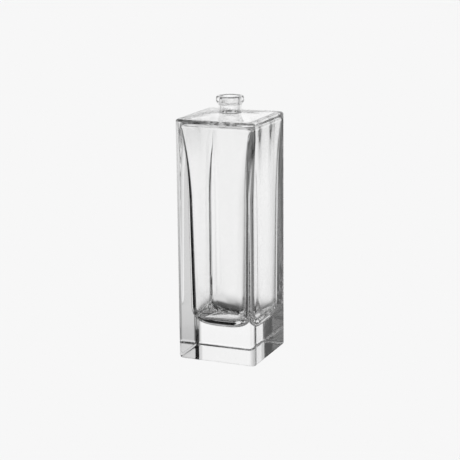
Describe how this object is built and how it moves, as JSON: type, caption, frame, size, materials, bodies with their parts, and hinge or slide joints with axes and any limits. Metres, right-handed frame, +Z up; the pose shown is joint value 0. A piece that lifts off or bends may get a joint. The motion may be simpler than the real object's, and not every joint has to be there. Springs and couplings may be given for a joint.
{
  "type": "aftershave bottle",
  "caption": "Tall square bottle of clear glass with a thick solid base, a slightly crowned top and a short round neck ending in a crimp bead.",
  "frame": {"origin": "middle of the base, on the surface that the bottle stands on", "axes": "+Z up along the axis of the neck, +X and +Y square to the side walls"},
  "size_m": [0.0454, 0.0454, 0.143],
  "materials": {
    "clear_glass": "polished"
  },
  "bodies": {
    "root": {"glass_bottle": "clear_glass"}
  },
  "joints": []
}
